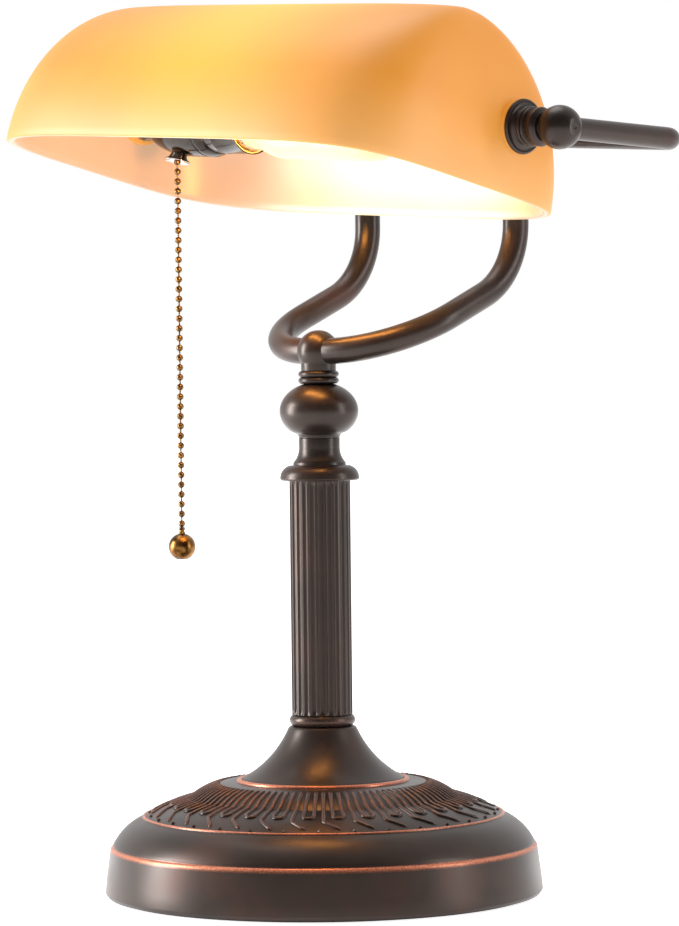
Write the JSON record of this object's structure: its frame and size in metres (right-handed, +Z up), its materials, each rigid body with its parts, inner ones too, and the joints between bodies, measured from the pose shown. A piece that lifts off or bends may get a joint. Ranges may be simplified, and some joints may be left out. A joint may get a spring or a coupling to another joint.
{
  "type": "banker desk lamp",
  "caption": "Banker desk lamp with a stepped round base, fluted column, tilting amber glass shade and a bead pull chain.",
  "frame": {"origin": "centre of the felt's underside, on the table and on the column's axis", "axes": "+Z up the column, +X along the shade towards its right end, -Y towards the user"},
  "size_m": [0.3005, 0.1976, 0.3941],
  "materials": {
    "bronze": "satin oil-rubbed bronze",
    "felt": "wool felt",
    "plate_steel": "black stove enamel",
    "cast_weight": "as cast",
    "black_rubber": "matte",
    "zinc_steel": "zinc plated",
    "black_steel": "black oxide",
    "amber_glass": "amber cased opal glass",
    "dark_chrome": "dark nickel plate",
    "fibre": "vulcanised fibre",
    "bare_brass": "pressed sheet",
    "bakelite": "moulded phenolic",
    "chrome": "bright plate",
    "antique_brass": "antique brass",
    "bulb_aluminium": "rolled thread",
    "bulb_glass": "frosted",
    "clear_glass": "clear",
    "tungsten": "coiled wire"
  },
  "bodies": {
    "stand": {"felt_pad": "felt", "base_plate": "plate_steel", "base_weight": "cast_weight", "base_shell": "bronze", "cord_bushing": "black_rubber", "rod_washer": "zinc_steel", "rod_nut": "zinc_steel", "centre_rod": "zinc_steel", "base_spire": "bronze", "column_ring": "bronze", "fluted_column": "bronze", "column_cap": "bronze", "column_ball": "bronze", "neck_rings": "bronze", "knuckle": "bronze", "knuckle_screw": "black_steel", "yoke_tube": "bronze", "yoke_tee_left": "bronze", "yoke_tee_right": "bronze", "bracket_tube": "bronze", "pivot_ball_left": "bronze", "pivot_ball_right": "bronze", "pivot_collar_left": "bronze", "pivot_collar_right": "bronze", "shade_disc_left": "bronze", "shade_disc_right": "bronze", "pivot_pin_left": "zinc_steel", "pivot_pin_right": "zinc_steel", "pivot_washer_left": "zinc_steel", "pivot_washer_right": "zinc_steel", "pivot_nut_left": "black_steel", "pivot_nut_right": "black_steel", "switch_housing": "dark_chrome", "lampholder_shell": "dark_chrome", "lampholder_liner": "fibre", "screw_shell": "bare_brass", "centre_contact": "bare_brass", "switch_core": "bakelite", "chain_guide": "chrome", "bulb_cap": "bulb_aluminium", "bulb_glass": "bulb_glass", "bulb_stem": "clear_glass", "bulb_filament": "tungsten"},
    "shade_body": {"shade": "amber_glass"},
    "link_body": {"pull_link": "antique_brass"},
    "swivel_body": {"swivel_bead": "antique_brass"},
    "chain_body": {"bead_chain": "antique_brass", "chain_coupling": "antique_brass", "pull_ball": "antique_brass"}
  },
  "joints": [
    {"name": "shade_tilt", "type": "hinge", "parent": "stand", "child": "shade_body", "pos_m": [0.00017, 0.00257, 0.33933], "axis": [0.9986, 0, -0.0523], "range_deg": [-20, 40]},
    {"name": "chain_pull", "type": "slide", "parent": "stand", "child": "link_body", "axis": [-0.0507, -0.2504, -0.9668], "range_m": [0, 0.008], "stiffness_N_per_m": 400},
    {"name": "chain_swing_x", "type": "hinge", "parent": "link_body", "child": "swivel_body", "pos_m": [-0.08663, -0.00223, 0.32527], "axis": [1, 0, 0], "range_deg": [-15, 15]},
    {"name": "chain_swing_y", "type": "hinge", "parent": "swivel_body", "child": "chain_body", "pos_m": [-0.08663, -0.00223, 0.32527], "axis": [0, 1, 0], "range_deg": [-15, 15]}
  ]
}
